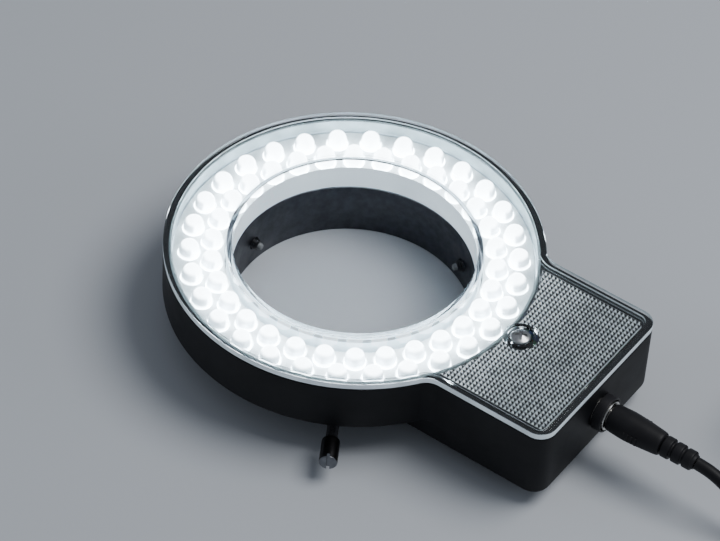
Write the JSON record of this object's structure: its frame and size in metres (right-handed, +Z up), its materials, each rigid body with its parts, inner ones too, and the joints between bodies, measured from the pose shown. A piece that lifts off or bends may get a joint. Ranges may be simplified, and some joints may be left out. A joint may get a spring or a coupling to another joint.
{
  "type": "stereo microscope ring light",
  "caption": "Black LED ring light with a driver box, clear cover, clamping thumb screws and a plug-in lead, lying lamp face up.",
  "frame": {"origin": "middle of the light's bounding box at table level, its lead left out", "axes": "+X from the ring towards the driver box and its socket, +Z up out of the lamp face, which lies upwards; the ring's axis is parallel to Z at x = -0.0123 m, y = 0.001 m"},
  "size_m": [0.2474, 0.118, 0.045],
  "materials": {
    "housing_black": "satin",
    "collar_black": "satin",
    "screw_steel": "polished",
    "cover_clear": "moulded clear acrylic with a pyramid texture over the box",
    "board_white": "white solder mask",
    "led_resin": "water-clear resin, lit",
    "board_green": "green solder mask",
    "can_sleeve": "sleeved aluminium can",
    "copper_winding": "enamelled copper",
    "chip_black": "moulded epoxy",
    "knob_black": "satin",
    "thumb_black": "black oxide",
    "nylon_white": "natural nylon",
    "jack_nickel": "nickel plate",
    "wire_red": "PVC insulation",
    "wire_black": "PVC insulation",
    "lead_pvc": "soft PVC",
    "adapter_black": "fine spark texture",
    "blade_brass": "nickel-plated brass"
  },
  "bodies": {
    "root": {"housing_shell": "housing_black", "mounting_collar": "collar_black", "collar_screw_1": "screw_steel", "collar_screw_2": "screw_steel", "collar_screw_3": "screw_steel", "clear_cover": "cover_clear", "cover_screw": "screw_steel", "led_board": "board_white", "led_row_outer": "led_resin", "led_row_inner": "led_resin", "led_holder": "board_white", "driver_board": "board_green", "driver_board_screw_1": "screw_steel", "driver_board_screw_2": "screw_steel", "filter_capacitor": "can_sleeve", "inductor": "copper_winding", "driver_chip": "chip_black", "sense_resistor": "chip_black", "dimmer_potentiometer": "knob_black", "jack_body": "jack_nickel", "jack_pin": "jack_nickel", "jack_nut": "knob_black", "jack_wire_red": "wire_red", "jack_wire_black": "wire_black", "led_wire_red": "wire_red", "led_wire_black": "wire_black", "dimmer_wire": "wire_red", "plug_barrel": "jack_nickel", "plug_body": "lead_pvc", "strain_relief": "lead_pvc", "lead_cord_near": "lead_pvc", "lead_coil": "lead_pvc", "lead_cord_far": "lead_pvc", "adapter_relief": "lead_pvc", "adapter_base": "adapter_black", "adapter_top": "adapter_black", "adapter_blade_1": "blade_brass", "adapter_blade_2": "blade_brass"},
    "dimmer": {"dimmer_shaft": "screw_steel", "dimmer_knob": "knob_black"},
    "tip_1": {"thumb_screw_tip_1": "nylon_white"},
    "screw_1": {"thumb_screw_1": "thumb_black"},
    "tip_2": {"thumb_screw_tip_2": "nylon_white"},
    "screw_2": {"thumb_screw_2": "thumb_black"},
    "tip_3": {"thumb_screw_tip_3": "nylon_white"},
    "screw_3": {"thumb_screw_3": "thumb_black"}
  },
  "joints": [
    {"name": "dimmer_turn", "type": "hinge", "parent": "root", "child": "dimmer", "pos_m": [0.0497, -0.012, 0.003], "axis": [0, 0, 1], "range_deg": [-270, 0]},
    {"name": "tip_slide_1", "type": "slide", "parent": "root", "child": "tip_1", "axis": [-0.5, 0.866, 0], "range_m": [-0.0005, 0.0065]},
    {"name": "screw_spin_1", "type": "hinge", "parent": "tip_1", "child": "screw_1", "pos_m": [0.0117, -0.04057, 0.0066], "axis": [-0.5, 0.866, 0], "range_deg": [-360, 4680]},
    {"name": "tip_slide_2", "type": "slide", "parent": "root", "child": "tip_2", "axis": [-0.5, -0.866, 0], "range_m": [-0.0041, 0.0029]},
    {"name": "screw_spin_2", "type": "hinge", "parent": "tip_2", "child": "screw_2", "pos_m": [0.0117, 0.04257, 0.0066], "axis": [-0.5, -0.866, 0], "range_deg": [-2952, 2088]},
    {"name": "tip_slide_3", "type": "slide", "parent": "root", "child": "tip_3", "axis": [1, 0, 0], "range_m": [-0.0041, 0.0029]},
    {"name": "screw_spin_3", "type": "hinge", "parent": "tip_3", "child": "screw_3", "pos_m": [-0.0603, 0.001, 0.0066], "axis": [1, 0, 0], "range_deg": [-2952, 2088]}
  ],
  "couplings": [
    {"joint": "screw_spin_1", "follows": "tip_slide_1", "rad_per_m": 12566},
    {"joint": "screw_spin_2", "follows": "tip_slide_2", "rad_per_m": 12566},
    {"joint": "screw_spin_3", "follows": "tip_slide_3", "rad_per_m": 12566}
  ]
}
